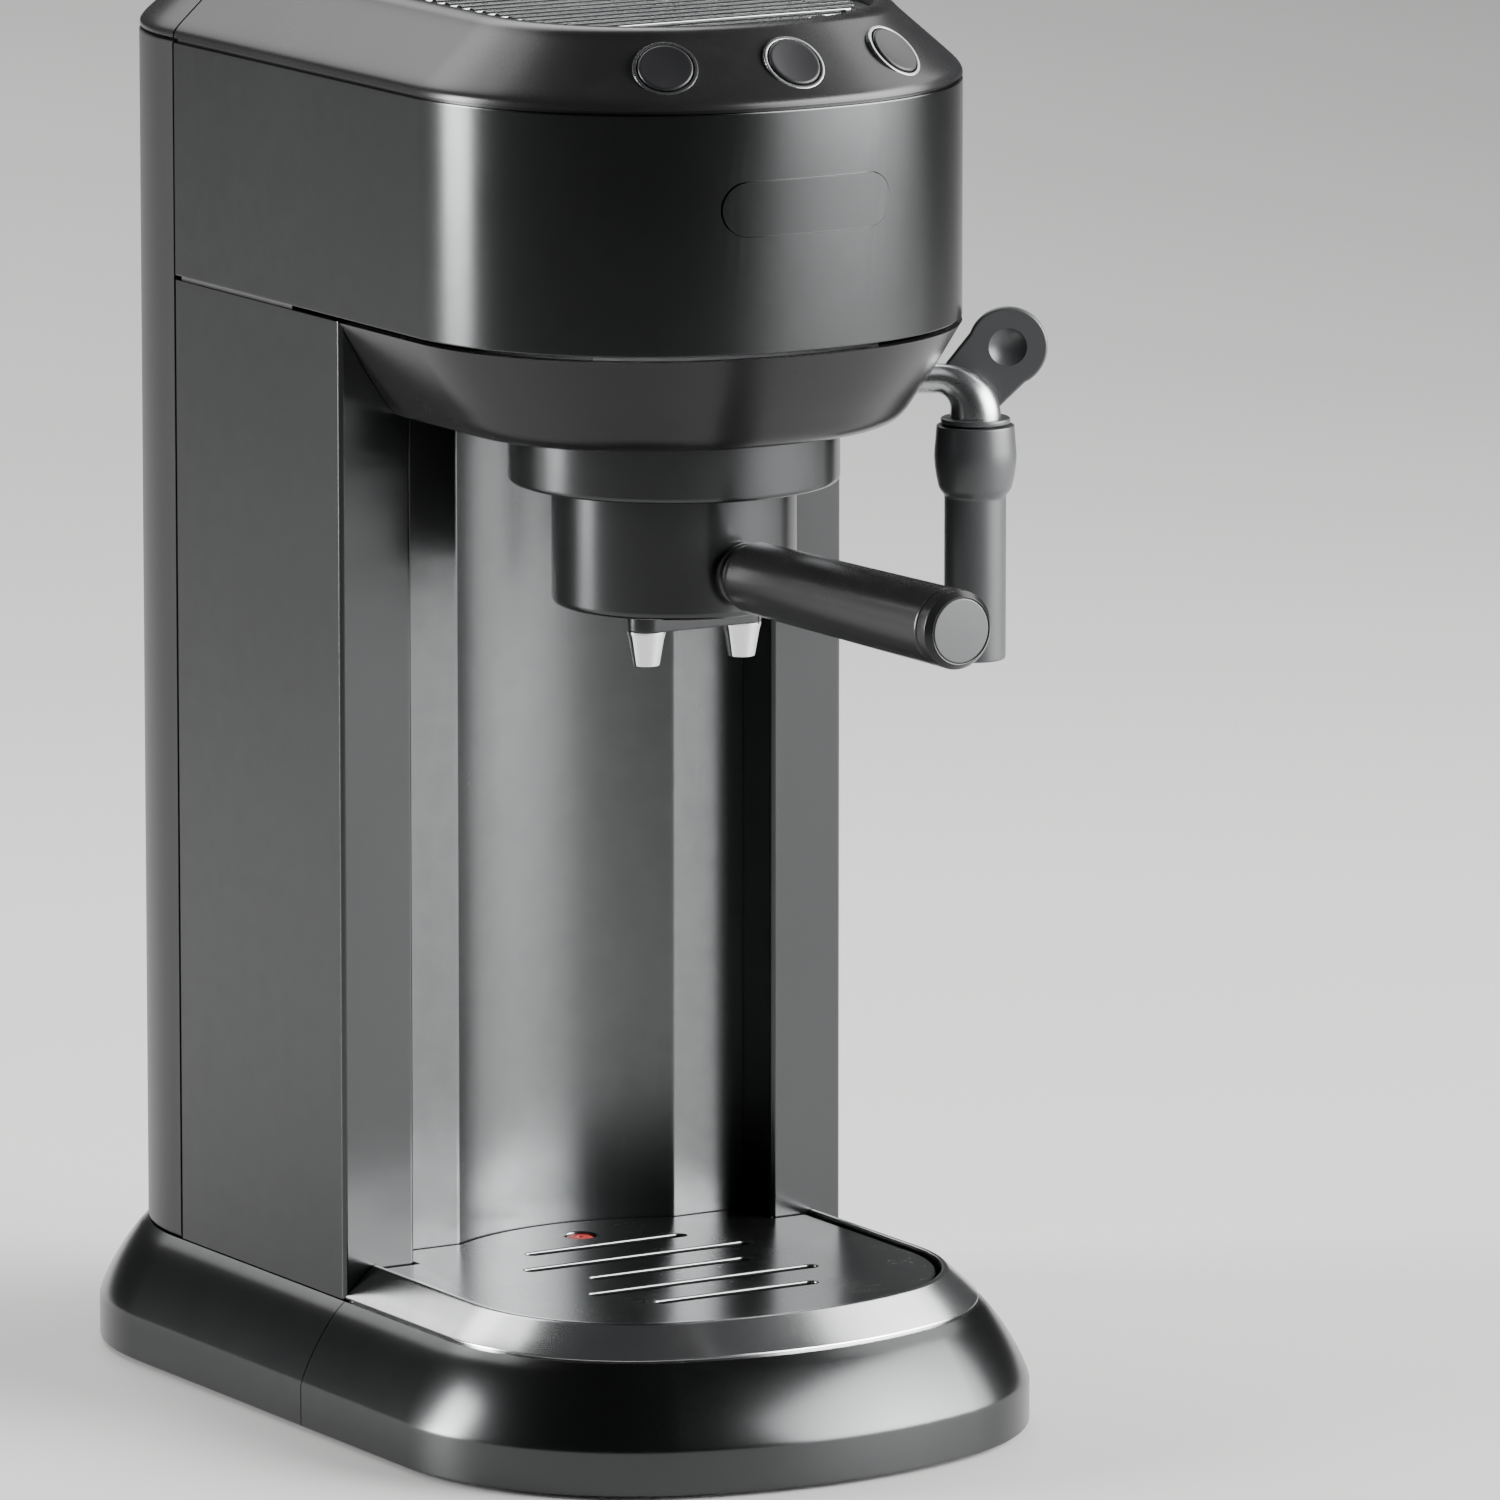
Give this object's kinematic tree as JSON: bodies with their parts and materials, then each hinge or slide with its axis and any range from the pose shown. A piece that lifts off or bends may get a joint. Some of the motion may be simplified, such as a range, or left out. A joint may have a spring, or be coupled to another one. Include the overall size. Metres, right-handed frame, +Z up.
{
  "type": "espresso machine",
  "caption": "Slim free-standing pump espresso machine with a portafilter under a rounded head, a steam wand, a lift-out water tank behind and a slide-out drip tray.",
  "frame": {"origin": "on the rest surface, at the middle of the body's plan between the front of the head and the back of the tank", "axes": "+Z up, -Y towards the user (portafilter handle), +X to the right seen from the front"},
  "size_m": [0.1897, 0.3346, 0.3698],
  "materials": {
    "inner_plastic": "moulded plastic",
    "soft_rubber": "moulded rubber",
    "dark_base_metal": "satin dark paint on pressed metal",
    "satin_dark_metal": "satin graphite paint on steel",
    "splash_metal": "satin steel",
    "steel": "plain stainless steel",
    "matte_black_plastic": "fine matt moulded plastic",
    "black_plastic": "semi-gloss moulded plastic",
    "satin_pipe": "satin steel tube",
    "circuit_board": "coated board",
    "aluminium": "die cast",
    "brass": "turned",
    "satin_black_metal": "satin black coating on cast metal",
    "seal_rubber": "silicone",
    "hose_plastic": "translucent silicone",
    "trim_metal": "polished bevelled steel",
    "tray_steel": "glossy steel",
    "red_plastic": "moulded plastic",
    "tank_plastic": "smoked moulded plastic",
    "grey_plastic": "matt grey moulded plastic",
    "chrome": "polished plate"
  },
  "bodies": {
    "machine": {"base_plate": "inner_plastic", "foot_ring": "soft_rubber", "base_shell": "dark_base_metal", "base_deck": "inner_plastic", "left_side_panel": "satin_dark_metal", "right_side_panel": "satin_dark_metal", "backsplash_panel": "splash_metal", "inner_frame": "inner_plastic", "head_shelf": "steel", "head_band": "satin_dark_metal", "badge_plate": "satin_dark_metal", "head_underside": "matte_black_plastic", "top_cover": "black_plastic", "cup_warmer_plate": "splash_metal", "button_rings": "satin_pipe", "button_switches": "circuit_board", "pump": "steel", "pump_mounts": "soft_rubber", "heating_block": "aluminium", "thermostats": "inner_plastic", "three_way_valve": "brass", "group_flange": "satin_black_metal", "group_body": "aluminium", "group_gasket": "seal_rubber", "shower_screen": "steel", "control_board": "circuit_board", "screws": "steel", "hoses": "hose_plastic", "steam_tube": "brass", "steam_valve": "brass", "wand_socket": "steel", "tank_dock": "inner_plastic", "dock_seal": "seal_rubber", "rocker_frame": "matte_black_plastic", "cable_gland": "soft_rubber"},
    "drip_tray": {"tray_body": "dark_base_metal", "tray_trim_ring": "trim_metal"},
    "cup_plate": {"cup_plate": "tray_steel"},
    "tray_float": {"tray_float": "red_plastic"},
    "water_tank": {"tank_body": "tank_plastic", "tank_valve": "inner_plastic", "lid_hinge_pins": "steel"},
    "tank_lid": {"tank_lid": "black_plastic"},
    "portafilter": {"portafilter_body": "satin_black_metal", "filter_basket": "steel", "basket_spring": "steel", "handle_ferrule": "matte_black_plastic", "handle_grip": "matte_black_plastic", "handle_cap": "grey_plastic", "spout_pair": "chrome"},
    "steam_wand": {"wand_pipe": "satin_pipe", "thumb_tab": "grey_plastic", "wand_collar": "grey_plastic", "wand_nozzle": "steel"},
    "frother": {"frother_sleeve": "grey_plastic"},
    "single_button": {"brew_button_single": "matte_black_plastic"},
    "double_button": {"brew_button_double": "matte_black_plastic"},
    "steam_switch": {"steam_button": "matte_black_plastic"},
    "steam_knob": {"steam_knob": "black_plastic"},
    "power_rocker": {"power_rocker": "black_plastic"}
  },
  "joints": [
    {"name": "drip_tray_slide", "type": "slide", "parent": "machine", "child": "drip_tray", "axis": [0, -1, 0], "range_m": [0, 0.15]},
    {"name": "cup_plate_lift", "type": "slide", "parent": "drip_tray", "child": "cup_plate", "axis": [0, 0, 1], "range_m": [0, 0.06]},
    {"name": "float_rise", "type": "slide", "parent": "drip_tray", "child": "tray_float", "axis": [0, 0, 1], "range_m": [0, 0.006]},
    {"name": "tank_lift", "type": "slide", "parent": "machine", "child": "water_tank", "axis": [0, 0, 1], "range_m": [0, 0.2]},
    {"name": "tank_lid_hinge", "type": "hinge", "parent": "water_tank", "child": "tank_lid", "pos_m": [0, 0.07135, 0.3666], "axis": [1, 0, 0], "range_deg": [0, 92]},
    {"name": "portafilter_turn", "type": "hinge", "parent": "machine", "child": "portafilter", "pos_m": [0, -0.05975, 0.2473], "axis": [0, 0, 1], "range_deg": [-50, 0]},
    {"name": "wand_swing", "type": "hinge", "parent": "machine", "child": "steam_wand", "pos_m": [0.0805, -0.07615, 0.2687], "axis": [0.866, -0.5, 0], "range_deg": [-45, 45]},
    {"name": "frother_pull", "type": "slide", "parent": "steam_wand", "child": "frother", "axis": [0, 0, -1], "range_m": [0, 0.06]},
    {"name": "single_button_press", "type": "slide", "parent": "machine", "child": "single_button", "axis": [0.3182, 0.6451, -0.6947], "range_m": [0, 0.0016], "stiffness_N_per_m": 800, "springref_m": -0.001},
    {"name": "double_button_press", "type": "slide", "parent": "machine", "child": "double_button", "axis": [0, 0.7193, -0.6947], "range_m": [0, 0.0016], "stiffness_N_per_m": 800, "springref_m": -0.001},
    {"name": "steam_button_press", "type": "slide", "parent": "machine", "child": "steam_switch", "axis": [-0.3182, 0.6451, -0.6947], "range_m": [0, 0.0016], "stiffness_N_per_m": 800, "springref_m": -0.001},
    {"name": "steam_knob_turn", "type": "hinge", "parent": "machine", "child": "steam_knob", "pos_m": [0.075, 0.00495, 0.3217], "axis": [1, 0, 0], "range_deg": [0, 270]},
    {"name": "power_rocker_tilt", "type": "hinge", "parent": "machine", "child": "power_rocker", "pos_m": [0.0725, 0.03955, 0.0727], "axis": [0, 1, 0], "range_deg": [-16, 0]}
  ]
}
